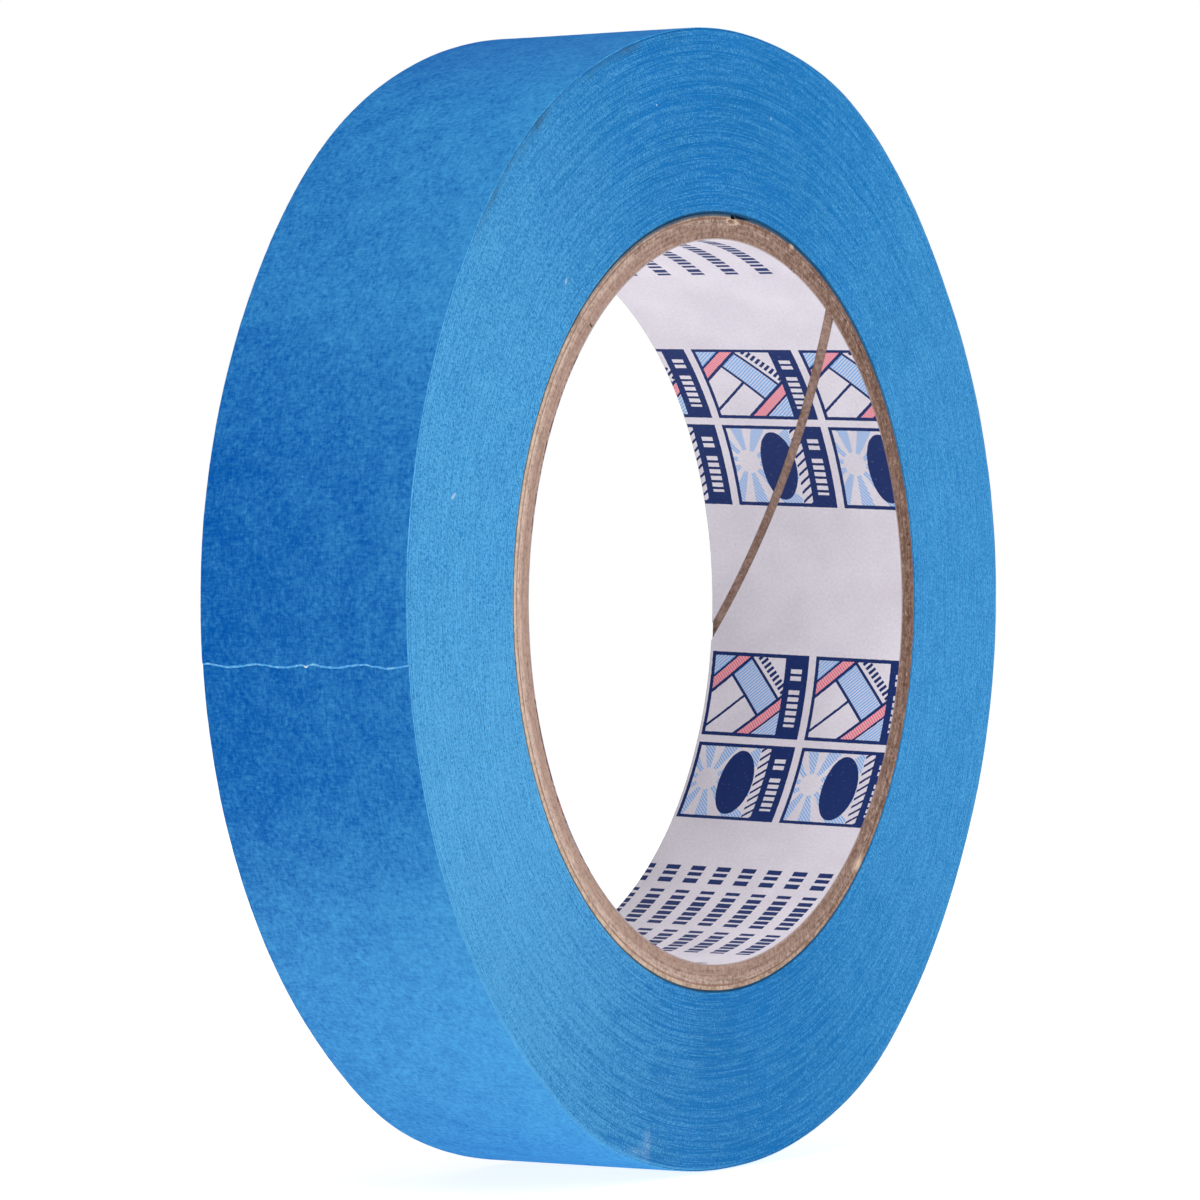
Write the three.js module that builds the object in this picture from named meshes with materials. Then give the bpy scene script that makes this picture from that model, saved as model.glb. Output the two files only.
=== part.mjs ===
// Masking tape roll: a spirally wound paper core and one long strip of blue crepe paper tape.
// Millimetres, +Z up. The roll stands on its rim with its axis along X, and the origin is its centre.
// Angles are in degrees round the X axis, from +Y (0) up through +Z (90) to -Y (180).

import * as THREE from "three";

// Tape
const TAPE_WIDTH = 24.5;
const ROLL_RADIUS = 60;
const TURN_PITCH = 0.12; // tape thickness with its adhesive
const TURN_GAP = 0.01; // air between modelled turns
const TORN_END_ANGLE = 186.1; // free end, just below the middle of the -Y side
const TAB_LENGTH = 20; // length of tape that lifts at the free end, along the rim
const TAB_ROOT_GAP = 0.05; // cut between the lifting tab and the rest of its turn
const FOOT_WIDTH = 6; // flat under the roll, where the paper has given under its weight

// Core, a 3 inch tube of glued paper plies
const BORE_RADIUS = 38.1;
const CORE_RADIUS = 40.8;
const CORE_GAP = 0.06; // between the core and the first turn
const LINER_THICKNESS = 0.15; // white paper, printed before winding
const OUTER_PLY_THICKNESS = 0.4; // pale kraft paper
const BOARD_PLIES = 4;
const GLUE_LINE = 0.03;

// Every ply is a helical strip that goes round once, and its two edges almost meet in a butt seam.
const SEAM_MIDDLE_ANGLE = 24.9; // liner seam, halfway across the width
const SEAM_RISE = 59.8; // turn of the seam from the -X face to the +X face
const SEAM_STAGGER = 78.6; // from one ply's seam to the next ply's
const LINER_SEAM = 2; // opening of the seam, along the round
const BOARD_SEAM = 0.3;
const OUTER_PLY_SEAM = 0.9;

const FACET = 3; // largest angle of one flat of the round surfaces
const HALF_WIDTH = TAPE_WIDTH / 2;
const FULL_TURN = 360;
const BOTTOM_ANGLE = -90;

const degrees = THREE.MathUtils.radToDeg;
const radians = THREE.MathUtils.degToRad;

// Angles from one value to another in equal steps no larger than a facet, without the last one.
function stepsBetween(from, to) {
  const count = Math.ceil((to - from) / FACET - 1e-9);
  return Array.from({ length: count }, (_, i) => from + ((to - from) * i) / count);
}

function pointOnRim(x, radius, angle) {
  return [x, radius * Math.cos(radians(angle)), radius * Math.sin(radians(angle))];
}

// One closed body for a sheet bent round the X axis. Each station has an angle, an inner and an
// outer radius, and the x of its left and right edge; a sheet ends in a point where these meet.
function bentSheet(stations) {
  const positions = [];
  const addTriangle = (a, b, c) => {
    const same = (p, q) => p.every((value, i) => value === q[i]);
    if (!same(a, b) && !same(b, c) && !same(c, a)) positions.push(...a, ...b, ...c);
  };
  const addQuad = (a, b, c, d) => {
    addTriangle(a, b, c);
    addTriangle(a, c, d);
  };
  const corners = stations.map(({ angle, inner, outer, left, right }) => [
    pointOnRim(left, inner, angle),
    pointOnRim(right, inner, angle),
    pointOnRim(right, outer, angle),
    pointOnRim(left, outer, angle),
  ]);
  for (let i = 1; i < corners.length; i += 1) {
    for (let side = 0; side < 4; side += 1) {
      const next = (side + 1) % 4;
      addQuad(corners[i - 1][side], corners[i - 1][next], corners[i][next], corners[i][side]);
    }
  }
  addQuad(...corners[0].toReversed());
  addQuad(...corners.at(-1));
  const geometry = new THREE.BufferGeometry();
  geometry.setAttribute("position", new THREE.Float32BufferAttribute(positions, 3));
  geometry.computeVertexNormals();
  return geometry;
}

// A ply of the core: it covers each x from just past the seam right round to the seam again.
function plyGeometry(inner, outer, seamMiddle, seamOpening) {
  const halfGap = degrees(seamOpening / 2 / inner);
  const start = seamMiddle - SEAM_RISE / 2 + halfGap;
  const fullWidthStart = start + SEAM_RISE;
  const fullWidthEnd = start + FULL_TURN - 2 * halfGap;
  const end = fullWidthEnd + SEAM_RISE;
  const edgeX = (angle, edgeStart) => {
    const share = THREE.MathUtils.clamp((angle - edgeStart) / SEAM_RISE, 0, 1);
    return TAPE_WIDTH * share - HALF_WIDTH;
  };
  const angles = [
    ...stepsBetween(start, fullWidthStart),
    ...stepsBetween(fullWidthStart, fullWidthEnd),
    ...stepsBetween(fullWidthEnd, end),
    end,
  ];
  const stations = angles.map((angle) => ({
    angle,
    inner,
    outer,
    left: edgeX(angle, fullWidthEnd),
    right: edgeX(angle, start),
  }));
  return bentSheet(stations);
}

function corePlies() {
  const boardTotal = CORE_RADIUS - BORE_RADIUS - LINER_THICKNESS - OUTER_PLY_THICKNESS;
  const boardThickness = boardTotal / BOARD_PLIES;
  const board = { thickness: boardThickness, seam: BOARD_SEAM, color: 0xa58c73 };
  const plies = [
    { name: "core_liner_paper", thickness: LINER_THICKNESS, seam: LINER_SEAM, color: 0xe0dbe2 },
    ...Array.from({ length: BOARD_PLIES }, (_, i) => ({ name: `core_board_ply_${i + 1}`, ...board })),
    { name: "core_outer_paper", thickness: OUTER_PLY_THICKNESS, seam: OUTER_PLY_SEAM, color: 0xbea896 },
  ];
  let inner = BORE_RADIUS;
  return plies.map(({ name, thickness, seam, color }, i) => {
    const isLast = i === plies.length - 1;
    const outer = inner + thickness - (isLast ? 0 : GLUE_LINE);
    const geometry = plyGeometry(inner, outer, SEAM_MIDDLE_ANGLE + i * SEAM_STAGGER, seam);
    inner += thickness;
    return namedMesh(name, geometry, color);
  });
}

// The outermost turn runs from under the free end right round to the free end.
const turnStart = TORN_END_ANGLE - FULL_TURN;
const tabRoot = TORN_END_ANGLE - degrees(TAB_LENGTH / ROLL_RADIUS);
const footHalfAngle = degrees(FOOT_WIDTH / 2 / ROLL_RADIUS);
const footStart = BOTTOM_ANGLE - footHalfAngle;
const footEnd = BOTTOM_ANGLE + footHalfAngle;

const angleBelowFoot = stepsBetween(turnStart, footStart);
const angleAfterFoot = stepsBetween(footEnd, tabRoot);
const angleUnderTab = stepsBetween(tabRoot, TORN_END_ANGLE);

// Outer surface of the last turn, which gains one pitch in a full turn.
function rimRadius(angle) {
  return ROLL_RADIUS - (TURN_PITCH * (TORN_END_ANGLE - angle)) / FULL_TURN;
}

function turnStation(angle) {
  const outer = rimRadius(angle);
  return { angle, inner: outer - TURN_PITCH + TURN_GAP, outer, left: -HALF_WIDTH, right: HALF_WIDTH };
}

// Everything under the last turn, with the step where the last turn leaves it.
function woundTapeGeometry() {
  const angles = [...angleBelowFoot, footStart, ...angleAfterFoot, ...angleUnderTab];
  const outline = new THREE.Shape();
  [...angles, TORN_END_ANGLE].forEach((angle, i) => {
    const [, y, z] = pointOnRim(0, rimRadius(angle) - TURN_PITCH, angle);
    if (i === 0) outline.moveTo(y, z);
    else outline.lineTo(y, z);
  });
  const hole = new THREE.Path();
  angles.forEach((angle, i) => {
    const [, y, z] = pointOnRim(0, CORE_RADIUS + CORE_GAP, angle);
    if (i === 0) hole.moveTo(y, z);
    else hole.lineTo(y, z);
  });
  outline.holes.push(hole);
  const geometry = new THREE.ExtrudeGeometry(outline, { depth: TAPE_WIDTH, bevelEnabled: false });
  const profileToRoll = new THREE.Matrix4().makeBasis(
    new THREE.Vector3(0, 1, 0),
    new THREE.Vector3(0, 0, 1),
    new THREE.Vector3(1, 0, 0),
  );
  geometry.applyMatrix4(profileToRoll);
  geometry.translate(-HALF_WIDTH, 0, 0);
  return geometry;
}

function outerTurnGeometry() {
  const startGap = degrees(TURN_GAP / ROLL_RADIUS);
  const rootGap = degrees(TAB_ROOT_GAP / ROLL_RADIUS);
  const inside = [...angleBelowFoot, footStart, ...angleAfterFoot].slice(1);
  return bentSheet([turnStart + startGap, ...inside, tabRoot - rootGap].map(turnStation));
}

function freeEndGeometry() {
  return bentSheet([...angleUnderTab, TORN_END_ANGLE].map(turnStation));
}

function namedMesh(name, geometry, color, roughness = 0.9) {
  const material = new THREE.MeshStandardMaterial({ color, roughness, metalness: 0 });
  const mesh = new THREE.Mesh(geometry, material);
  mesh.name = name;
  return mesh;
}

const roll = new THREE.Group();
roll.add(
  ...corePlies(),
  namedMesh("wound_tape", woundTapeGeometry(), 0x3f8fcd, 0.75),
  namedMesh("tape_outer_turn", outerTurnGeometry(), 0x1e6ebe, 0.75),
  namedMesh("tape_free_end", freeEndGeometry(), 0x1e6ebe, 0.75),
);

export default roll;
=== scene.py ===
import math

import bpy
import numpy as np
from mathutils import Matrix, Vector, noise


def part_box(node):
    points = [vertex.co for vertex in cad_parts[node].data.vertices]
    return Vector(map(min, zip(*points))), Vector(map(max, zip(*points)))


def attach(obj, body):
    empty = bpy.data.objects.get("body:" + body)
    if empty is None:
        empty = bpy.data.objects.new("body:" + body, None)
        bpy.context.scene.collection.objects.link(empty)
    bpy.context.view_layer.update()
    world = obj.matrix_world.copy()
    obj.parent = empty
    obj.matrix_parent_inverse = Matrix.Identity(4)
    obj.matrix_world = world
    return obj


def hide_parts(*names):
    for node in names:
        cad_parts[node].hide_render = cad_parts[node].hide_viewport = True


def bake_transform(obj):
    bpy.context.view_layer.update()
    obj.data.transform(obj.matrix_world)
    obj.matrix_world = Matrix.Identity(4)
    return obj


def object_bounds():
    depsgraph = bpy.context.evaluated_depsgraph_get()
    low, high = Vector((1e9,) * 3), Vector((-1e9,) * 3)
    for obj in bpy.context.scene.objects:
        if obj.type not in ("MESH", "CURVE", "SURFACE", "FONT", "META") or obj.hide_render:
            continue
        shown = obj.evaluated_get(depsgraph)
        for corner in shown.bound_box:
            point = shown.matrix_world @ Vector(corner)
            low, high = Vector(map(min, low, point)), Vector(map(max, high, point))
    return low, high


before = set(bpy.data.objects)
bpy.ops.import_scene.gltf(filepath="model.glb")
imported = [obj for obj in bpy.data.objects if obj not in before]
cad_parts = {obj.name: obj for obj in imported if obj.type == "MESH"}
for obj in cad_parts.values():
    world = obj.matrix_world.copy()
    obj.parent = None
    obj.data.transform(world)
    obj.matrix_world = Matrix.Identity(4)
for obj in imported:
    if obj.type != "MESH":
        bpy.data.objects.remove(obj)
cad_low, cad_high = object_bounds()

# The roll stands on its rim with its axis along X. Lengths are in metres, and angles go round the
# X axis from +Y (0) up through +Z (a quarter turn) to -Y (a half turn).

MM = 0.001
FULL_TURN = 2 * math.pi


# ---------------------------------------------------------------- sizes, from the frame


def node_points(node):
    return np.array([v.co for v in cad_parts[node].data.vertices])


def node_radii(node):
    """Smallest and largest distance of a CAD node's corners from the roll's axis."""
    points = node_points(node)
    radii = np.hypot(points[:, 1], points[:, 2])
    return radii.min(), radii.max()


def node_angles(node):
    """Smallest and largest angle round the axis of a CAD node that is a short arc round -Y."""
    points = node_points(node)
    angles = np.arctan2(points[:, 2], points[:, 1]) % FULL_TURN
    return angles.min(), angles.max()


HALF_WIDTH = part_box("wound_tape")[1].x
ROLL_RADIUS = node_radii("tape_free_end")[1]
TAB_ROOT, TORN_END = node_angles("tape_free_end")
CORE_RADIUS = node_radii("core_outer_paper")[1]
BORE_RADIUS = node_radii("core_liner_paper")[0]
LAST_GLUE_RADIUS = node_radii("core_board_ply_4")[1] - 0.09 * MM
FLOOR_HEIGHT = cad_low.z

TAPE_THICKNESS = 0.12 * MM
TURN_COUNT = 157
CORE_GAP = 0.07 * MM
# Pieces that lie on each other stay this far apart.
CLEARANCE = 0.01 * MM


# Where the roll is out of round: angle in degrees, how far the rim stands out in mm, half spread.
OUT_OF_ROUND = (
    (-88, -0.25, 10),
    (-60, 0.38, 9),
    (-31, -0.55, 15),
    (8, 0.22, 12),
    (37, -0.3, 9),
    (66, 0.75, 14),
    (92, 0.25, 10),
    (106, 0.15, 10),
    (127, 0.6, 15),
    (244, 0.45, 10),
)


def out_of_round(angle):
    """How far the rim stands out from a true circle. It is true under the free end."""
    offset = np.zeros_like(angle)
    for middle, height, spread in OUT_OF_ROUND:
        away = np.degrees(angle) - middle
        away = (away + 180) % 360 - 180
        offset = offset + height * MM * np.exp(-((away / spread) ** 2))
    return offset


def rim_radius(angle):
    """Outer surface of the last turn of the spiral, which gains one thickness in a full turn."""
    return ROLL_RADIUS - TAPE_THICKNESS * (TORN_END - angle) / FULL_TURN + out_of_round(angle)


def above_floor(radius, angle, cover):
    """The radius, held in where it would reach below the floor less a cover of tape."""
    down = -np.sin(angle)
    lower_part = 0.5
    limit = (-FLOOR_HEIGHT - cover) / np.maximum(down, lower_part)
    return np.where(down > lower_part, np.minimum(radius, limit), radius)


# ---------------------------------------------------------------- meshes


def noise_at(points, size, seed):
    """Smooth noise, about -1 to 1, at each point, with lumps of the given size."""
    shift = Vector((17.3, -9.1, 5.7)) * seed
    return np.array([noise.noise(Vector(p) / size + shift) for p in points])


def on_round(x, radius, angle):
    return np.stack([x, radius * np.cos(angle), radius * np.sin(angle)], axis=-1)


SHARP_ANGLE = math.radians(50)


def mesh_object(name, points, faces, materials, face_slots):
    mesh = bpy.data.meshes.new(name)
    mesh.from_pydata(points.tolist(), [], faces)
    for material in materials:
        mesh.materials.append(material)
    mesh.polygons.foreach_set("material_index", face_slots)
    mesh.polygons.foreach_set("use_smooth", [True] * len(mesh.polygons))
    mesh.set_sharp_from_angle(angle=SHARP_ANGLE)
    mesh.update()
    piece = bpy.data.objects.new(name, mesh)
    bpy.context.scene.collection.objects.link(piece)
    return piece


def bent_solid(name, angles, x, radius, materials, loop_slots=None, ring=False):
    """A closed body bent round the X axis. Row i of x and radius is its outline at angles[i]:
    the inner side from low to high x, then the outer side back again. A ring closes on itself,
    and any other body gets a ladder of faces at each end."""
    rows, around = x.shape
    points = on_round(x, radius, np.asarray(angles)[:, None]).reshape(-1, 3)
    starts = np.arange(rows if ring else rows - 1) * around
    nexts = np.roll(np.arange(rows) * around, -1)[: len(starts)]
    here = np.arange(around)
    ahead = np.roll(here, -1)
    quads = np.stack(
        [
            starts[:, None] + here,
            starts[:, None] + ahead,
            nexts[:, None] + ahead,
            nexts[:, None] + here,
        ],
        axis=-1,
    ).reshape(-1, 4)
    faces = quads.tolist()
    slots = (loop_slots or [0] * around) * len(starts)
    if not ring:
        last = (rows - 1) * around
        for j in range(around // 2 - 1):
            other = around - 1 - j
            faces.append((j, other, other - 1, j + 1))
            faces.append((last + j, last + j + 1, last + other - 1, last + other))
            slots += [slots[around // 2 - 1]] * 2
    return mesh_object(name, points, faces, materials, slots)


def mark_sheet(piece, x, along, extra=None):
    """Stores where each point lies on the flat sheet, in millimetres: across, along, and extra.
    A slit face stores how far in from the rim it is as its first number, and valleys as extra."""
    extra = np.zeros_like(x) if extra is None else extra
    values = np.stack([x / MM, along / MM, extra], axis=-1).astype(np.float32)
    attribute = piece.data.attributes.new("sheet", "FLOAT_VECTOR", "POINT")
    attribute.data.foreach_set("vector", values.ravel())


# ---------------------------------------------------------------- materials


def srgb(red, green, blue):
    """A colour given as 0 to 255 in sRGB, as the linear colour that nodes use."""

    def linear(value):
        value /= 255
        return value / 12.92 if value <= 0.04045 else ((value + 0.055) / 1.055) ** 2.4

    return (linear(red), linear(green), linear(blue), 1.0)


class Field:
    """A number that a material's nodes work out at every point, so that patterns read as sums."""

    def __init__(self, tree, socket):
        self.tree = tree
        self.socket = socket

    def math(self, operation, *others):
        node = self.tree.nodes.new("ShaderNodeMath")
        node.operation = operation
        for slot, value in zip(node.inputs, (self, *others)):
            if isinstance(value, Field):
                self.tree.links.new(value.socket, slot)
            else:
                slot.default_value = value
        return Field(self.tree, node.outputs[0])

    def __add__(self, other):
        return self.math("ADD", other)

    def __sub__(self, other):
        return self.math("SUBTRACT", other)

    def __mul__(self, other):
        return self.math("MULTIPLY", other)

    def __truediv__(self, other):
        return self.math("DIVIDE", other)

    def __gt__(self, other):
        return self.math("GREATER_THAN", other)

    def __lt__(self, other):
        return self.math("LESS_THAN", other)

    def __abs__(self):
        return self.math("ABSOLUTE")

    def __invert__(self):
        return self * -1 + 1

    def either(self, other):
        return self.math("MAXIMUM", other)

    def between(self, low, high):
        return (self > low) * (self < high)

    def repeat(self, period):
        return self.math("FLOORED_MODULO", period)

    def ramp(self, low, high):
        """0 below low, 1 above high and smooth in between."""
        node = self.tree.nodes.new("ShaderNodeMapRange")
        node.interpolation_type = "SMOOTHSTEP"
        node.inputs["From Min"].default_value = low
        node.inputs["From Max"].default_value = high
        self.tree.links.new(self.socket, node.inputs["Value"])
        return Field(self.tree, node.outputs["Result"])


class Surface:
    """A material being made: its Principled shader and the nodes that feed it. Sizes are in mm."""

    def __init__(self, name, roughness, specular):
        self.material = bpy.data.materials.new(name)
        self.material.use_nodes = True
        self.tree = self.material.node_tree
        self.shader = self.tree.nodes["Principled BSDF"]
        self.shader.inputs["Roughness"].default_value = roughness
        self.shader.inputs["Specular IOR Level"].default_value = specular

    def feed(self, name, value):
        slot = self.shader.inputs[name]
        if isinstance(value, Field):
            self.tree.links.new(value.socket, slot)
        elif isinstance(value, tuple):
            slot.default_value = value
        else:
            self.tree.links.new(value, slot)

    def position(self):
        """The point's place in the frame."""
        source = self.tree.nodes.new("ShaderNodeTexCoord")
        scale = self.tree.nodes.new("ShaderNodeVectorMath")
        scale.operation = "SCALE"
        scale.inputs["Scale"].default_value = 1 / MM
        self.tree.links.new(source.outputs["Object"], scale.inputs[0])
        return scale.outputs[0]

    def sheet(self):
        """The point's place on the flat sheet that its piece was bent from."""
        source = self.tree.nodes.new("ShaderNodeAttribute")
        source.attribute_name = "sheet"
        return source.outputs["Vector"]

    def parts(self, vector):
        node = self.tree.nodes.new("ShaderNodeSeparateXYZ")
        self.tree.links.new(vector, node.inputs[0])
        return [Field(self.tree, output) for output in node.outputs]

    def vector(self, *values):
        node = self.tree.nodes.new("ShaderNodeCombineXYZ")
        for slot, value in zip(node.inputs, values):
            if isinstance(value, Field):
                self.tree.links.new(value.socket, slot)
            else:
                slot.default_value = value
        return node.outputs[0]

    def noise(self, vector, size, detail=3.0, roughness=0.55):
        node = self.tree.nodes.new("ShaderNodeTexNoise")
        node.inputs["Scale"].default_value = 1 / size
        node.inputs["Detail"].default_value = detail
        node.inputs["Roughness"].default_value = roughness
        self.tree.links.new(vector, node.inputs["Vector"])
        return Field(self.tree, node.outputs["Fac"])

    def random(self, value):
        """A random number from 0 to 1 for each whole number."""
        node = self.tree.nodes.new("ShaderNodeTexWhiteNoise")
        node.noise_dimensions = "1D"
        self.tree.links.new(value.socket, node.inputs["W"])
        return Field(self.tree, node.outputs["Value"])

    def mix(self, share, low, high):
        """The colour low where share is 0 and high where it is 1."""
        node = self.tree.nodes.new("ShaderNodeMix")
        node.data_type = "RGBA"
        self.tree.links.new(share.socket, node.inputs["Factor"])
        for slot, colour in ((node.inputs[6], low), (node.inputs[7], high)):
            if isinstance(colour, tuple):
                slot.default_value = colour
            else:
                self.tree.links.new(colour, slot)
        return node.outputs[2]

    def bump(self, height, depth):
        """Feeds the shader's normal from a height field from 0 to 1, depth mm deep."""
        node = self.tree.nodes.new("ShaderNodeBump")
        node.inputs["Distance"].default_value = depth * MM
        self.tree.links.new(height.socket, node.inputs["Height"])
        self.tree.links.new(node.outputs["Normal"], self.shader.inputs["Normal"])


# Deepest and lightest blue of the tape's back and of its slit edges.
TAPE_DARK = srgb(0, 88, 176)
TAPE_LIGHT = srgb(76, 168, 226)
EDGE_DARK = srgb(14, 130, 200)
EDGE_LIGHT = srgb(106, 196, 244)
# Painted shade in the valleys between the turns' edges.
EDGE_VALLEY_SHADE = srgb(0, 100, 178)

# Where across the tape its torn end has one small tongue.
TEAR_TONGUE_X = 0.2 * MM


def lobe(angle, middle, start):
    """1 where an angle is near the middle, in degrees, down to 0 where its cosine from it is start."""
    return (angle - math.radians(middle)).math("COSINE").ramp(start, 1.0)


def crepe_paper():
    """Back of the tape: deep blue washi paper, mottled, with fine fibres both ways. Painted shade
    makes it deepest round its torn end, where it faces the front, and darker at the top; painted light
    makes it palest low on the near side and lighter towards the near face."""
    surface = Surface("blue_washi_paper", roughness=0.7, specular=0.0)
    across, along, torn = surface.parts(surface.sheet())
    flat = surface.vector(across, along, 0.0)
    fibres_along = surface.noise(surface.vector(across * 4.5, along, 3.0), 1.0, 4.0, 0.65)
    fibres_across = surface.noise(surface.vector(across, along * 4.5, 7.0), 1.0, 4.0, 0.65)
    blots = surface.noise(surface.vector(across * 1.3, along, 5.0), 1.1, 2.0, 0.5)
    cloud = surface.noise(flat, 4.2, 2.0, 0.5)
    grain = surface.noise(flat, 0.5, 4.0, 0.75)
    angle = along * (MM / ROLL_RADIUS)
    # deep is painted shade where the back faces the front, round the torn end; pale is painted light
    # low on the near side.
    deep = lobe(angle, 181, 0.84)
    pale = lobe(angle, 242, 0.7)
    tone = (fibres_along + fibres_across) * 0.34 + cloud * 0.2 + blots * 0.24 + grain * 0.66
    # The across term is painted light, lighter towards the near face.
    tone = tone - deep * 0.13 + pale * 0.075 + across * 0.004
    colour = surface.mix(tone.ramp(0.55, 1.23), TAPE_DARK, TAPE_LIGHT)
    # A pale wash low down and a darker blue at the top: painted light and painted shade.
    colour = surface.mix(pale * 0.05, colour, srgb(150, 184, 206))
    colour = surface.mix(lobe(angle, 96, 0.88) * 0.3, colour, srgb(52, 92, 172))
    specks = surface.noise(flat, 0.3, 2.0, 0.7).ramp(0.66, 0.78)
    colour = surface.mix(specks * 0.25, colour, srgb(110, 175, 228))
    frayed = torn * (grain * 0.9 + 0.5)
    tuft = surface.noise(surface.vector(across, 0.0, 9.0), 0.7, 3.0, 0.6).ramp(0.42, 0.7)
    thread = surface.mix(tuft, srgb(80, 168, 236), srgb(146, 212, 248))
    tongue = ~abs(across - TEAR_TONGUE_X / MM).ramp(0.12, 0.3)
    thread = surface.mix(tongue * 0.9, thread, srgb(226, 240, 246))
    colour = surface.mix(frayed.ramp(0.3, 0.8), colour, thread)
    surface.feed("Base Color", colour)
    surface.bump((fibres_along + fibres_across) * 0.35 + grain * 0.5, 0.05)
    return surface.material


# Bits of lint and scuffs on the face that shows: angle in degrees, distance from the axis, half
# length and half width in mm, lean in degrees, and how much the mark covers.
LINT = (
    (168.7, 52.7, 0.55, 0.2, 40, 0.85),
    (134.0, 44.9, 0.35, 0.18, 80, 0.7),
    (105.0, 53.1, 0.16, 0.14, 0, 0.7),
    (79.5, 52.4, 0.3, 0.08, 60, 0.7),
)
SCUFFS = (
    (-107.0, 59.0, 2.6, 0.6, -8, 0.8),
    (-105.8, 58.1, 2.1, 1.4, 82, 0.8),
)


def face_marks(marks, x, y, z, ragged):
    """How much one of the marks covers each point of the near face, from 0 to 1."""
    covered = x * 0
    for angle, distance, half_length, half_width, lean, cover in marks:
        dy = y - distance * math.cos(math.radians(angle))
        dz = z - distance * math.sin(math.radians(angle))
        cosine = math.cos(math.radians(lean))
        sine = math.sin(math.radians(lean))
        long_way = (dy * cosine + dz * sine) / half_length
        short_way = (dz * cosine - dy * sine) / half_width
        distance_out = long_way * long_way + short_way * short_way + ragged
        covered = covered.either(~distance_out.ramp(0.4, 1.2) * cover)
    return covered * (x > 0)


def turn_lines(surface, place, x, radius, angle, top_bottom_shade):
    """Tone of the separate turns. Some are broken dark lines, with fine dark dashes between them;
    painted shade makes the lines strongest at the top and bottom.
    """
    wavy = radius + surface.noise(place, 3.0, 2.0, 0.5) * 0.12
    which = surface.random((wavy * (MM / TAPE_THICKNESS)).math("FLOOR"))
    broken = surface.noise(surface.vector(radius * 2.5, angle * 14.0, x), 1.0, 2.0, 0.6)
    line = ~which.ramp(0.12, 0.36) * (broken.ramp(0.35, 0.6) * 1.4 + 0.3)
    dashes = surface.noise(surface.vector(radius * 4.5, angle * 9.0, x), 1.0, 2.0, 0.6)
    dark = line * 0.1 + ~dashes.ramp(0.36, 0.5) * 0.2
    # The per-turn tone and the dark lines are weighted by painted shade at the top and bottom.
    return which * (top_bottom_shade * 0.05 + 0.04) - dark * top_bottom_shade * top_bottom_shade


def soiled_and_highlit_rim(surface, colour, inward, angle, mottle):
    """The colour, with the rim soiled in blotches high on the torn side, and a painted highlight on
    its fuzzy fibres low down.
    """
    rim = ~abs(inward).ramp(0.1, 0.35)
    blotches = ~abs(inward).ramp(0.2, 1.3) * mottle.ramp(0.95, 1.1)
    soiled = lobe(angle, 122, 0.9) * blotches.either(rim * 0.3)
    colour = surface.mix(soiled * 0.6, colour, srgb(56, 78, 110))
    # Painted highlight along the rim, low on the lower left.
    return surface.mix(rim * lobe(angle, -125, 0.7) * 0.5, colour, EDGE_LIGHT)


def slit_edges():
    """Sides of the roll: the slit edges of all the turns, pale on their ridges, with painted shade in
    the valleys between, and painted sheen that makes them darker at the top and bottom and lighter to
    the left.
    """
    surface = Surface("slit_tape_edges", roughness=0.55, specular=0.1)
    place = surface.position()
    x, y, z = surface.parts(place)
    inward, _, valley = surface.parts(surface.sheet())
    radius = (y * y + z * z).math("SQRT")
    angle = z.math("ARCTAN2", y)
    patches = surface.noise(place, 5.0, 3.0, 0.6)
    grain = surface.noise(place, 0.3, 3.0, 0.75)
    fine = surface.noise(place, 0.16, 2.0, 0.6)
    # 1 at the top and bottom and 0 at the sides: it weights painted shade at the top and bottom and
    # painted sheen at the sides.
    top_bottom_shade = (angle * 2.0).math("COSINE") * -0.5 + 0.5
    smooth = lobe(angle, 0, 0.2)
    tone = turn_lines(surface, place, x, radius, angle, top_bottom_shade) + patches * 0.14
    tone = tone + grain * (top_bottom_shade * -0.15 - smooth * 0.4 + 1.2) + fine * (smooth * -0.3 + 0.9)
    # Painted light and shade: darker at the top and bottom, lighter to the left, and brightest low on
    # the left, as sheen across the ridges.
    tone = tone + smooth * 0.35 + top_bottom_shade * 0.06 - top_bottom_shade * top_bottom_shade * 0.13
    tone = tone - angle.math("COSINE") * 0.05 + lobe(angle, -135, 0.65) * 0.1
    colour = surface.mix(tone.ramp(0.82, 1.45), EDGE_DARK, EDGE_LIGHT)
    # Painted shade in the valleys between the turns.
    colour = surface.mix(valley, colour, EDGE_VALLEY_SHADE)
    # Painted shadow on the turns next to the core, along the gap, strongest at the top and bottom.
    core_gap_shadow = ~radius.ramp(CORE_RADIUS / MM + 0.2, CORE_RADIUS / MM + 0.36)
    colour = surface.mix(core_gap_shadow * top_bottom_shade * 0.7, colour, srgb(26, 58, 78))
    colour = soiled_and_highlit_rim(surface, colour, inward, angle, grain + patches)
    lint = face_marks(LINT, x, y, z, grain * 2.4 - 1.2)
    colour = surface.mix(lint, colour, srgb(190, 216, 236))
    scuffed = face_marks(SCUFFS, x, y, z, patches * 2.0 + grain * 3.0 - 2.3)
    colour = surface.mix(scuffed * (grain.ramp(0.5, 0.66) * 0.8 + 0.15), colour, srgb(176, 208, 226))
    surface.feed("Base Color", colour)
    surface.bump(grain + lint, 0.06)
    return surface.material


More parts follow.
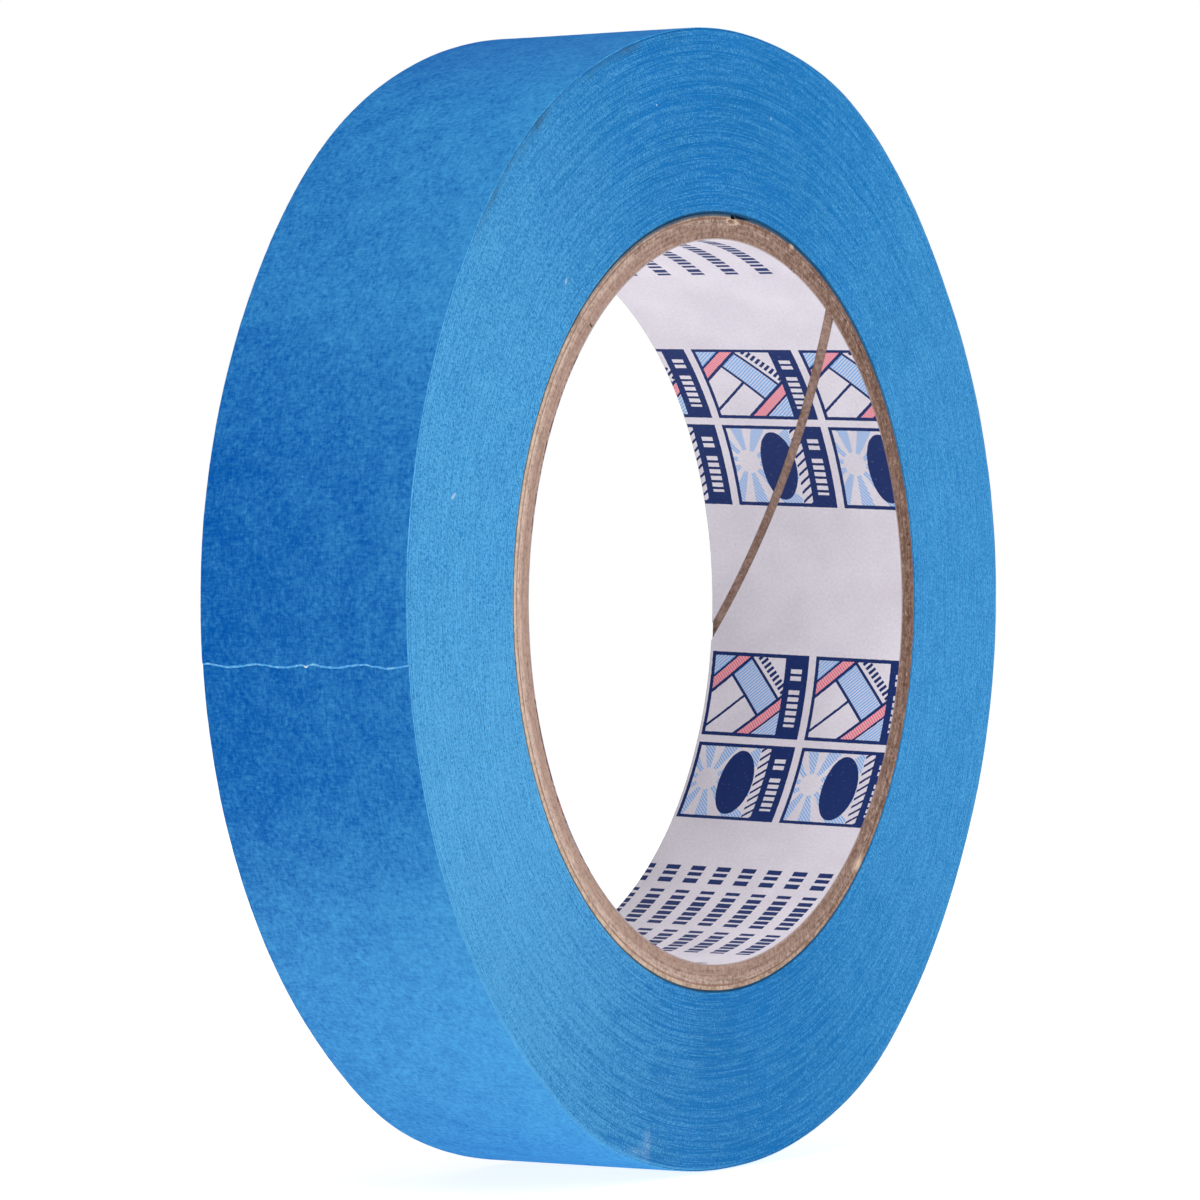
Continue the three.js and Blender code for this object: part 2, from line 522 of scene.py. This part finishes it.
def adhesive_side():
    """Underside of the tape: paler, under a smooth coat of adhesive."""
    surface = Surface("adhesive_side", roughness=0.32, specular=0.4)
    across, along, _ = surface.parts(surface.sheet())
    flat = surface.vector(across, along, 0.0)
    streaks = surface.noise(surface.vector(across * 3.0, along * 0.4, 0.0), 1.3, 3.0, 0.6)
    grain = surface.noise(flat, 0.5, 3.0, 0.6)
    tone = streaks * 0.5 + grain * 0.5
    colour = surface.mix(tone.ramp(0.3, 0.7), srgb(96, 160, 212), srgb(140, 190, 226))
    surface.feed("Base Color", colour)
    surface.bump(tone, 0.02)
    return surface.material


def near_end(x, start, full):
    """0 further than start, in mm, from the ends of the core, and 1 nearer than full."""
    return abs(x).ramp(HALF_WIDTH / MM - start, HALF_WIDTH / MM - full)


# The liner's print, in mm on the flat liner: across is x, down is along the round, downwards on
# the side that shows. It repeats twice round the bore.
PRINT_TOP = 45.3
PRINT_REPEAT = math.pi * BORE_RADIUS / MM
PRINT_SLANT = 0.042

# The framed boxes: where their two groups of rows start, where the first column of each group
# starts, and the boxes' pitch and size.
BOX_GROUPS = (14.2, 51.4)
BOX_COLUMN_STARTS = (-7.73, -11.9)
BOX_PITCH = 13.5
BOX_WIDTH = 12.6
BOX_HEIGHT = 9.75
BOX_ROW_PITCH = 10.63
BOX_LINE = 0.42
BAND_START = 9.6

# Where a set of columns of bars starts, its runs of bars, the pitch of its columns and their width.
BAR_COLUMNS = (
    (78.8, ((0.0, 2.9), (4.1, 11.2), (12.3, 19.4)), 3.3, 1.8),
    (104.3, ((0.0, 15.2),), 4.17, 1.6),
)
BAR_PITCH = 1.05


def diagonal_panel(cx, cy):
    """A white panel set aslant between pink bands, with hatched blue corners. Navy, blue, pink."""
    slant = cx * 0.65 + cy * 0.76
    other = cy * 0.65 - cx * 0.76
    edge = abs(slant - 6.8)
    navy = edge.between(2.9, 3.25).either(edge.between(4.25, 4.5))
    dividers = (abs(other + 0.5) < 0.17).either(abs(other + 3.6) < 0.17)
    dividers = dividers.either((abs(slant - 6.8) < 0.15) * (other > -0.5))
    bars = (other.between(-5.2, -4.2) * (slant.repeat(0.62) < 0.34)).either(dividers)
    navy = navy.either(bars * (edge < 3.0))
    hatch = slant.repeat(0.3) < 0.2
    blue = (edge > 4.5).either((edge < 3.0) * other.between(-3.4, -0.6)) * hatch
    pink = edge.between(3.25, 4.25) * (other.repeat(0.3) < 0.24)
    return navy, blue, pink


def rays_and_oval(cx, cy):
    """Blue rays from a pale centre, a navy oval and a row of slanted strokes. Navy and blue."""
    dx = cx - 2.3
    dy = cy - 4.5
    bearing = dy.math("ARCTAN2", dx)
    distance = (dx * dx + dy * dy).math("SQRT")
    rays = ((bearing * 10.0).math("SINE") > -0.1) * (distance > 1.4) * (cx < 8.3)
    hatch = (cx * 0.7 - cy * 0.7).repeat(0.3) < 0.2
    oval_x = (cx - 6.1) / 2.2
    oval_y = (cy - 4.9) / 4.1
    oval = (oval_x * oval_x + oval_y * oval_y) < 1.0
    strokes = ((cy + cx * 0.8).repeat(1.05) < 0.34) * cx.between(8.4, BAND_START)
    return oval.either(strokes), rays * hatch * ~oval


def printed_boxes(x, down):
    """Two rows of framed boxes, each with a navy band down its side. Navy, blue and pink."""
    second = down > BOX_GROUPS[1] - 1
    row = down - BOX_GROUPS[0] - second * (BOX_GROUPS[1] - BOX_GROUPS[0])
    column = x - BOX_COLUMN_STARTS[0] - second * (BOX_COLUMN_STARTS[1] - BOX_COLUMN_STARTS[0])
    cx = column.repeat(BOX_PITCH)
    cy = row.repeat(BOX_ROW_PITCH)
    in_rows = row.between(0.0, 2 * BOX_ROW_PITCH)
    box = (cx < BOX_WIDTH) * (cy < BOX_HEIGHT) * in_rows
    inner = cx.between(BOX_LINE, BOX_WIDTH) * cy.between(BOX_LINE, BOX_HEIGHT - BOX_LINE)
    band = cx > BAND_START
    lower = row > BOX_ROW_PITCH
    label = cx.between(10.4, 11.8) * cy.between(1.3, 8.3) * ~cy.between(3.1, 3.9)
    label = label * (cy.repeat(0.8) < 0.5)
    panel_navy, panel_blue, pink = diagonal_panel(cx, cy)
    rays_navy, rays_blue = rays_and_oval(cx, cy)
    navy_picture = panel_navy * ~lower + rays_navy * lower
    blue_picture = panel_blue * ~lower + rays_blue * lower
    picture = box * inner * ~band
    navy = box * (~inner).either(band * ~label) + picture * navy_picture
    return navy, picture * blue_picture * ~navy_picture, picture * pink * ~lower * ~navy_picture


def printed_bars(surface, x, down, start, runs, pitch, width):
    """Columns of plain bars of uneven thickness, in runs along the round."""
    place = down - start
    column = (x + place * 0.02).repeat(pitch)
    bar = place / BAR_PITCH
    thickness = surface.random(bar.math("FLOOR")) * 0.3 + 0.52
    inside = place.between(*runs[0])
    for run in runs[1:]:
        inside = inside.either(place.between(*run))
    return (bar.repeat(1.0) < thickness) * inside * (column < width)


def liner_paper():
    """Smooth white paper with a generic print in navy, light blue and pink."""
    surface = Surface("printed_liner_paper", roughness=0.6, specular=0.25)
    x, along, _ = surface.parts(surface.sheet())
    flat = surface.vector(x, along, 0.0)
    wander = surface.noise(flat, 0.5, 2.0, 0.6) * 0.09 - 0.045
    down = (along * -1 - x * PRINT_SLANT + PRINT_TOP + wander).repeat(PRINT_REPEAT)
    sideways = x + wander
    navy, blue, pink = printed_boxes(sideways, down)
    for start, runs, pitch, width in BAR_COLUMNS:
        navy = navy.either(printed_bars(surface, sideways, down, start, runs, pitch, width))
    fibre = surface.noise(flat, 0.35, 3.0, 0.6)
    cloud = surface.noise(flat, 7.0, 2.0, 0.5)
    tone = (fibre * 0.6 + cloud * 0.6).ramp(0.35, 0.85)
    paper = surface.mix(tone, srgb(221, 214, 223), srgb(238, 232, 240))
    flecks = surface.noise(flat, 0.22, 1.0, 0.5).ramp(0.8, 0.86)
    paper = surface.mix(flecks * 0.35, paper, srgb(120, 110, 125))
    ink = ~fibre.ramp(0.6, 0.8) * 0.15 + 0.85
    colour = surface.mix(pink * ink, paper, srgb(240, 128, 144))
    colour = surface.mix(blue * ink, colour, srgb(140, 186, 238))
    colour = surface.mix(navy * ink, colour, srgb(12, 42, 104))
    cut_end = near_end(x, 0.07, 0.03)
    colour = surface.mix(cut_end * (fibre * 0.8 + 0.3), colour, srgb(136, 108, 96))
    surface.feed("Base Color", colour)
    surface.bump(fibre, 0.02)
    return surface.material


# Bare fibres where the core's end is torn.
TORN_FIBRE = srgb(216, 192, 168)


def end_tone(surface, x, angle):
    """Painted light and shade: lighter on one side of each cut end and darker on the other."""
    return (angle + math.radians(165)).math("COSINE") * near_end(x, 0.8, 0.3)


def chipboard():
    """Grey-brown board, with fibres that run round the core."""
    surface = Surface("chipboard", roughness=0.9, specular=0.1)
    place = surface.position()
    x, y, z = surface.parts(place)
    _, _, torn = surface.parts(surface.sheet())
    radius = (y * y + z * z).math("SQRT")
    angle = z.math("ARCTAN2", y)
    fibres = surface.noise(surface.vector(angle * 16.0, radius * 5.0, x * 2.0), 1.2, 4.0, 0.7)
    layers = surface.noise(surface.vector(radius * 3.2, angle * 3.0, x * 0.3), 1.0, 3.0, 0.6)
    lumps = surface.noise(place, 0.4, 3.0, 0.7)
    spots = surface.noise(place, 0.9, 2.0, 0.6)
    # Painted light and shade round the cut end.
    side_shade = end_tone(surface, x, angle)
    tone = fibres * 0.4 + layers * 0.25 + lumps * 0.7 + spots * 0.2 + side_shade * 0.17
    colour = surface.mix(tone.ramp(0.45, 1.12), srgb(86, 58, 46), srgb(214, 188, 174))
    inner_part = ~radius.ramp(BORE_RADIUS / MM + 1.1, BORE_RADIUS / MM + 1.9)
    colour = surface.mix(inner_part * (side_shade * 0.15 + 0.38), colour, srgb(136, 102, 88))
    glue_line = ~abs(radius - LAST_GLUE_RADIUS / MM).ramp(0.05, 0.16)
    colour = surface.mix(glue_line * 0.55, colour, srgb(118, 72, 52))
    colour = surface.mix(torn, colour, TORN_FIBRE)
    surface.feed("Base Color", colour)
    surface.bump(fibres * 0.5 + lumps * 0.8, 0.15)
    return surface.material


def kraft_paper():
    """Pale brown paper with short fibres, with a painted shadow at the top along the gap to the tape.
    """
    surface = Surface("kraft_paper", roughness=0.85, specular=0.1)
    place = surface.position()
    x, y, z = surface.parts(place)
    _, _, torn = surface.parts(surface.sheet())
    fibres = surface.noise(place, 0.4, 4.0, 0.7)
    patches = surface.noise(place, 3.0, 2.0, 0.5)
    angle = z.math("ARCTAN2", y)
    # Painted light and shade round the cut end.
    side_shade = end_tone(surface, x, angle)
    tone = fibres * 0.8 + patches * 0.35 + side_shade * 0.16 - 0.06
    colour = surface.mix(tone.ramp(0.25, 0.85), srgb(112, 80, 64), srgb(214, 190, 170))
    radius = (y * y + z * z).math("SQRT")
    # Painted shadow at the top, along the gap to the tape.
    outside = radius.ramp(CORE_RADIUS / MM - 0.4, CORE_RADIUS / MM - 0.12)
    colour = surface.mix(outside * lobe(angle, 75, 0.2) * 0.95, colour, srgb(40, 76, 104))
    colour = surface.mix(torn, colour, TORN_FIBRE)
    surface.feed("Base Color", colour)
    surface.bump(fibres, 0.1)
    return surface.material


def pale_floor():
    """White translucent sheet, lit from below as well as from above, and more so further out."""
    surface = Surface("pale_floor", roughness=0.9, specular=0.0)
    place = surface.position()
    x, y, _ = surface.parts(place)
    far_out = (x * x + y * y).math("SQRT").ramp(150.0, 1100.0)
    tone = surface.noise(place, 900.0, 1.0, 0.5)
    surface.feed("Base Color", surface.mix(tone, srgb(170, 170, 170), srgb(176, 176, 176)))
    surface.feed("Emission Color", (1.0, 1.0, 1.0, 1.0))
    surface.feed("Emission Strength", far_out * 0.1 + 0.83)
    return surface.material


# ---------------------------------------------------------------- the tape

SHEET_CELL = 0.36 * MM
TAPE_SLOTS = {"back": 0, "edge": 1, "underside": 2}
EDGE_DROP = 0.03 * MM
EDGE_DROP_REACH = 0.15 * MM
FRAY_THINNING = 0.75


def tread_relief(x, along):
    """Height of the crepe on the tape's back, and of its slack over the turns below."""
    flat = np.stack([x, along, np.zeros_like(x)], axis=-1).reshape(-1, 3)
    crepe = noise_at(flat * (1.0, 2.2, 1.0), 0.9 * MM, 1)
    puckers = noise_at(flat * (0.35, 1.0, 1.0), 2.4 * MM, 2)
    slack = noise_at(flat, 14 * MM, 3)
    height = 0.010 * crepe + 0.012 * puckers + 0.03 * slack
    return (height * MM).reshape(x.shape)


def slit_edge_wander(along, side):
    """How far a slit edge of the tape strays from straight."""
    line = np.stack([along, np.full_like(along, side * 0.01), np.zeros_like(along)], axis=-1)
    return (0.035 * noise_at(line, 6 * MM, 4) + 0.015 * noise_at(line, 0.8 * MM, 5)) * MM


def strip_mesh(name, turned, x, radius, materials, slots):
    """bent_solid for a sheet whose points each have an angle of their own."""
    piece = bent_solid(name, turned[:, 0], x, radius, materials, slots)
    points = on_round(x, radius, turned).reshape(-1)
    piece.data.vertices.foreach_set("co", points)
    piece.data.update()
    return piece


def tape_strip(name, angles, materials, under_count=2, top_count=None, end_shift=None, torn=None):
    """A stretch of the tape as a closed sheet on the spiral. end_shift moves points along the
    round, and torn says how frayed each row is."""
    top_count = top_count or int(2 * HALF_WIDTH / SHEET_CELL)
    share = np.concatenate([np.linspace(0, 1, under_count), np.linspace(1, 0, top_count)])
    sheet_thickness = TAPE_THICKNESS - CLEARANCE
    is_top = np.arange(len(share)) >= under_count
    angles = np.asarray(angles)
    along = angles * ROLL_RADIUS
    low = -HALF_WIDTH + slit_edge_wander(along, -1)
    high = HALF_WIDTH + slit_edge_wander(along, 1)
    x = low[:, None] + (high - low)[:, None] * share
    turned = np.repeat(angles[:, None], len(share), axis=1)
    if end_shift is not None:
        turned = turned + end_shift(x, turned) / ROLL_RADIUS
    frayed = np.zeros(len(angles)) if torn is None else torn
    thickness = sheet_thickness * (1 - FRAY_THINNING * frayed[:, None])
    bottom = rim_radius(turned) - sheet_thickness
    relief = tread_relief(x, turned * ROLL_RADIUS)
    edge_drop = EDGE_DROP * np.exp(-(HALF_WIDTH - np.abs(x)).clip(0) / EDGE_DROP_REACH)
    radius = np.where(is_top, bottom + thickness + relief - edge_drop, bottom)
    cover = np.where(is_top, 0, sheet_thickness)
    radius = above_floor(radius, turned, cover)
    slots = [TAPE_SLOTS["underside"]] * (under_count - 1) + [TAPE_SLOTS["edge"]]
    slots += [TAPE_SLOTS["back"]] * (top_count - 1) + [TAPE_SLOTS["edge"]]
    piece = strip_mesh(name, turned, x, radius, materials, slots)
    extra = np.repeat(frayed[:, None], len(share), axis=1)
    mark_sheet(piece, x.ravel(), (turned * ROLL_RADIUS).ravel(), extra.ravel())
    return piece


TURN_OVERLAP = math.radians(2)


def outer_turn(materials):
    """The last turn, up to the root of the free end."""
    start = TAB_ROOT - FULL_TURN - TURN_OVERLAP
    count = int((TAB_ROOT - start) * ROLL_RADIUS / SHEET_CELL)
    angles = np.linspace(start, TAB_ROOT, count)
    piece = tape_strip("last_turn_of_tape", angles, materials)
    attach(piece, "roll")
    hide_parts("tape_outer_turn")


TEAR_WAVE = 6.2 * MM
TEAR_DEPTH = 0.17 * MM
TEAR_TONGUE = 0.3 * MM


def tear_profile(x):
    """How far the torn end runs past its middle line: a slow wave, fine teeth and one tongue."""
    line = np.stack([x.ravel(), np.zeros(x.size), np.zeros(x.size)], axis=-1)
    teeth = 0.07 * noise_at(line, 0.6 * MM, 6) + 0.045 * noise_at(line, 0.2 * MM, 7)
    wave = -TEAR_DEPTH * np.cos(FULL_TURN * (x - 0.5 * MM) / TEAR_WAVE)
    tongue = TEAR_TONGUE * np.exp(-(((x - TEAR_TONGUE_X) / (0.25 * MM)) ** 2))
    return wave + tongue + teeth.reshape(x.shape) * MM


TAB_BEND = 4.5 * MM
TAB_CELL = 0.2 * MM
FRAY_REACH = 0.22 * MM
TEAR_REACH = 2.5 * MM


def free_end(materials):
    """The last stretch of tape, from its root to the torn end."""
    length = (TORN_END - TAB_ROOT) * ROLL_RADIUS
    near_edge = np.array([0.0, 0.05, 0.11, 0.2, 0.32]) * MM
    body = np.linspace(length, near_edge[-1] + SHEET_CELL, int(length / SHEET_CELL))
    from_end = np.concatenate([body, near_edge[::-1]])
    angles = TORN_END - from_end / ROLL_RADIUS
    torn = np.clip(1.45 - from_end / FRAY_REACH, 0, 1)

    def shift(x, turned):
        closeness = np.clip(1 - (TORN_END - turned) * ROLL_RADIUS / TEAR_REACH, 0, 1)
        return tear_profile(x) * closeness

    count = int(2 * HALF_WIDTH / TAB_CELL)
    piece = tape_strip("free_end_of_tape", angles, materials, count, count, shift, torn)
    bend_angle = TAB_ROOT + TAB_BEND / ROLL_RADIUS
    end = Vector(on_round(0.0, rim_radius(bend_angle), bend_angle))
    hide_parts("tape_free_end")
    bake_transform(piece)


SIDE_STEPS = 154
# Corners of one turn's edge: share of its thickness from the inside, and height in mm.
TURN_PROFILE = ((0.02, 0.0), (0.5, 0.0), (0.58, -0.07), (0.94, -0.07))


def turn_heights(maker):
    """How far, in mm, the edge of each turn stands out of the face, from the core outwards."""
    heights = maker.normal(0, 0.003, TURN_COUNT) + 0.012 * (maker.random(TURN_COUNT) < 0.05)
    heights -= 0.009 * (maker.random(TURN_COUNT) < 0.06)
    heights[:2] -= (0.16, 0.08)
    heights[-1] -= 0.03
    return heights


def closed_rows(side, face, at_bore, at_rim):
    """Rows of values round the outline of a face piece, which is closed by one point at the bore
    and one at the rim. They follow the order that bent_solid asks for on either side."""
    if side > 0:
        return np.concatenate([at_bore, face, at_rim], axis=1)
    return np.concatenate([at_bore, at_rim, face[:, ::-1]], axis=1)


def slit_face(name, side, material):
    """Half of the wound tape, whose face shows the slit edge of every turn as its own ridge."""
    angles = TORN_END - FULL_TURN * (1 - (np.arange(SIDE_STEPS) + 0.5) / SIDE_STEPS)
    inner = CORE_RADIUS + CORE_GAP
    under_tab = np.where(angles > TAB_ROOT, TAPE_THICKNESS, 0)
    outer = rim_radius(angles) - TAPE_THICKNESS - 2 * CLEARANCE - under_tab
    outer = above_floor(outer, angles, TAPE_THICKNESS)
    turns = np.arange(TURN_COUNT)[:, None]
    share = np.array([p[0] for p in TURN_PROFILE])
    line_share = np.concatenate([[0], ((turns + share) / TURN_COUNT).ravel(), [1]])
    radius = inner + (outer - inner)[:, None] * line_share
    maker = np.random.default_rng(11 if side > 0 else 12)
    profile = turn_heights(maker)[:, None] + np.array([p[1] for p in TURN_PROFILE])
    profile = np.concatenate([[profile[0, 0]], profile.ravel(), [profile[-1, -1]]])
    valley = np.tile([float(depth < 0) for _, depth in TURN_PROFILE], TURN_COUNT)
    valley = np.tile(np.concatenate([[1.0], valley, [1.0]]), (SIDE_STEPS, 1))
    places = on_round(np.full_like(radius, side * 0.1), radius, angles[:, None]).reshape(-1, 3)
    wander = noise_at(places, 5 * MM, 8).reshape(radius.shape)
    slow = noise_at(places, 26 * MM, 9).reshape(radius.shape)
    fuzz = maker.normal(0, 0.004, radius.shape)
    height = profile * (1 + 0.3 * wander) + 0.03 * slow + fuzz
    face_x = side * (HALF_WIDTH + height * MM)
    middle = np.full((SIDE_STEPS, 1), side * CLEARANCE / 2)
    no_valley = np.zeros((SIDE_STEPS, 1))
    x = closed_rows(side, face_x, middle, middle)
    r = closed_rows(side, radius, radius[:, :1], radius[:, -1:])
    valley = closed_rows(side, valley, no_valley, no_valley)
    piece = bent_solid(name, angles, x, r, [material], ring=True)
    inward = outer[:, None] - r
    mark_sheet(piece, inward.ravel(), (angles[:, None] * r).ravel(), valley.ravel())
    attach(piece, "roll")
    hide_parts("wound_tape")


# ---------------------------------------------------------------- the core

# How far a seam turns from one end of the core to the other, where the liner's seam is halfway
# along, and how much further on each next ply's seam is.
SEAM_RISE = math.radians(59.8)
LINER_SEAM = math.radians(24.9)
SEAM_STAGGER = math.radians(78.6)
BOARD_PLIES = 4
END_POINTS = 6
PLY_STEP = 0.28 * MM
PLY_SWELL = 0.007 * MM
PLY_TIP = 0.03 * MM

# Torn places on the end that shows: angle in degrees, distance from the axis, half length along
# the round, half width, depth (all in mm) and paleness at the middle and round the edge.
TEARS = (
    (85.5, 40.85, 1.7, 0.3, 0.55, 0.0, 0.0),
    (87.9, 40.1, 0.75, 0.22, 0.35, 0.0, 0.9),
    (-45.4, 40.25, 0.95, 0.42, -0.12, 0.9, 0.2),
    (70.0, 40.5, 0.5, 0.25, -0.1, 0.7, 0.0),
    (-140.0, 39.6, 0.6, 0.2, 0.1, 0.0, 0.6),
)


def torn_places(angles, radius):
    """How much deeper each point of the end that shows is where it is torn, and how pale."""
    depth = np.zeros_like(radius)
    paleness = np.zeros_like(radius)
    for middle, distance, half_length, half_width, down, inside, rim in TEARS:
        turned = (angles - math.radians(middle) + math.pi) % FULL_TURN - math.pi
        along = turned * distance / half_length
        out = (radius / MM - distance) / half_width
        away = np.hypot(along, out)
        depth += down * MM * np.exp(-(away**4))
        paleness += inside * np.exp(-(away**4)) + rim * np.exp(-(((away - 1.3) / 0.4) ** 2))
    return depth, paleness.clip(0, 1)


def ply_outline(inner, outer, left, right, wall_points):
    """Outline of a ply at one angle: its inner side, one end, its outer side and the other end."""
    ends = np.linspace(inner, outer, END_POINTS + 2)[1:-1]
    wall = np.linspace(left, right, wall_points)
    x = np.concatenate([wall, [right] * END_POINTS, wall[::-1], [left] * END_POINTS])
    radius = np.concatenate([[inner] * wall_points, ends, [outer] * wall_points, ends[::-1]])
    return x, radius


def core_ply(name, node, material, seam_start, seam_gap, wall_points, roughness, seed):
    """One ply of the core: a helical strip that goes round once. Its wall has wall_points points
    across, and its cut ends stray by about the roughness, in mm."""
    inner, outer = node_radii(node)
    inner -= PLY_SWELL
    outer += PLY_SWELL
    start = seam_start + seam_gap / inner / 2
    end = seam_start + SEAM_RISE + FULL_TURN - seam_gap / inner / 2
    angles = np.linspace(start, end, int((end - start) * inner / PLY_STEP))
    seam_slope = 2 * HALF_WIDTH / SEAM_RISE
    lefts = np.maximum(-HALF_WIDTH, HALF_WIDTH - seam_slope * (end - angles))
    rights = np.minimum(HALF_WIDTH, -HALF_WIDTH + seam_slope * (angles - start))
    lefts = np.minimum(lefts, HALF_WIDTH - PLY_TIP)
    rights = np.maximum(rights, -HALF_WIDTH + PLY_TIP)
    outlines = [ply_outline(inner, outer, a, b, wall_points) for a, b in zip(lefts, rights)]
    x = np.array([outline[0] for outline in outlines])
    radius = np.array([outline[1] for outline in outlines])
    places = on_round(x, radius, angles[:, None]).reshape(-1, 3)
    rough = noise_at(places, 0.35 * MM, seed) + 0.7 * noise_at(places, 1.6 * MM, seed + 1)
    at_end = np.abs(x) > HALF_WIDTH - CLEARANCE
    lower = roughness * (1.0 - rough.reshape(x.shape)) * MM
    depth, paleness = torn_places(angles[:, None], radius)
    shows = x > 0
    lower = np.where(at_end, lower + depth * shows, 0)
    x = x - np.sign(x) * lower
    piece = bent_solid(name, angles, x, radius, [material])
    pale = (paleness * at_end * shows).ravel()
    mark_sheet(piece, x.ravel(), (angles[:, None] * radius).ravel(), pale)
    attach(piece, "roll")
    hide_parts(node)


def build_core():
    """The plies from the bore outwards, each seam a stagger further on than the last."""
    board = chipboard()
    seam = LINER_SEAM - SEAM_RISE / 2
    core_ply("liner", "core_liner_paper", liner_paper(), seam, 2.0 * MM, 50, 0.01, 20)
    for i in range(1, BOARD_PLIES + 1):
        seam += SEAM_STAGGER
        name = f"board_ply_{i}"
        core_ply(name, f"core_{name}", board, seam, 0.3 * MM, 6, 0.05, 20 + 2 * i)
    seam += SEAM_STAGGER
    node = "core_outer_paper"
    core_ply("outer_paper", node, kraft_paper(), seam, 0.9 * MM, 6, 0.04, 40)


# ---------------------------------------------------------------- studio


FLOOR_REACH = 4.0
FLOOR_DROP = 0.02 * MM


def build_stage():
    """A plain pale floor, a hair below the roll."""
    corners = ((-1, -1), (1, -1), (1, 1), (-1, 1))
    height = FLOOR_HEIGHT - FLOOR_DROP
    mesh = bpy.data.meshes.new("floor")
    points = [(x * FLOOR_REACH, y * FLOOR_REACH, height) for x, y in corners]
    mesh.from_pydata(points, [], [(0, 1, 2, 3)])
    mesh.materials.append(pale_floor())
    floor = bpy.data.objects.new("floor", mesh)
    bpy.context.scene.collection.objects.link(floor)


# Where the photo was taken from, about level with the roll's centre and a little to its left.
CAMERA_AZIMUTH = math.radians(32.14)
CAMERA_DISTANCE = 620.35 * MM
CAMERA_SIDEWAYS = -2.81 * MM
CAMERA_HEIGHT = 0.195 * MM


def build_camera():
    back = Vector((math.sin(CAMERA_AZIMUTH), -math.cos(CAMERA_AZIMUTH), 0))
    right = Vector((math.cos(CAMERA_AZIMUTH), math.sin(CAMERA_AZIMUTH), 0))
    data = bpy.data.cameras.new("camera")
    data.lens = 175
    data.sensor_width = 36
    data.clip_start = 0.01
    data.clip_end = 50
    camera = bpy.data.objects.new("camera", data)
    camera.location = back * CAMERA_DISTANCE + right * CAMERA_SIDEWAYS + Vector((0, 0, CAMERA_HEIGHT))
    camera.rotation_mode = "QUATERNION"
    camera.rotation_quaternion = (-back).to_track_quat("-Z", "Y")
    bpy.context.scene.collection.objects.link(camera)
    bpy.context.scene.camera = camera


def area_light(name, place, size, power):
    """A soft round lamp that faces the roll's centre."""
    data = bpy.data.lights.new(name, "AREA")
    data.shape = "DISK"
    data.size = size
    data.energy = power
    light = bpy.data.objects.new(name, data)
    light.location = place
    light.rotation_mode = "QUATERNION"
    light.rotation_quaternion = (-Vector(place)).to_track_quat("-Z", "Y")
    bpy.context.scene.collection.objects.link(light)


# Strength of the backdrop as a light, next to 1 as the camera sees it.
FILL_LIGHT = 0.28


def build_world():
    """A white backdrop, which gives only part of the light: the rest comes from the soft lamps."""
    world = bpy.data.worlds.new("studio")
    world.use_nodes = True
    tree = world.node_tree
    background = tree.nodes["Background"]
    background.inputs["Color"].default_value = (1.0, 1.0, 1.0, 1.0)
    seen = Field(tree, tree.nodes.new("ShaderNodeLightPath").outputs["Is Camera Ray"])
    strength = seen * (1.0 - FILL_LIGHT) + FILL_LIGHT
    tree.links.new(strength.socket, background.inputs["Strength"])
    bpy.context.scene.world = world


# The lamps: name, place, diameter and power in watts.
LAMPS = (
    ("upper_light", (0.22, -0.4, 0.82), 0.6, 4.4),
    ("side_light", (0.88, 0.12, 0.32), 0.7, 3.6),
    ("back_light", (-0.75, 0.45, 0.35), 0.6, 2.4),
)


def build_view():
    scene = bpy.context.scene
    scene.view_settings.view_transform = "Standard"
    scene.view_settings.look = "None"
    build_camera()
    build_stage()
    build_world()
    for name, place, size, power in LAMPS:
        area_light(name, place, size, power)


build_view()
tape_materials = [crepe_paper(), slit_edges(), adhesive_side()]
outer_turn(tape_materials)
free_end(tape_materials)
slit_face("near_slit_face", 1, tape_materials[1])
slit_face("far_slit_face", -1, tape_materials[1])
build_core()
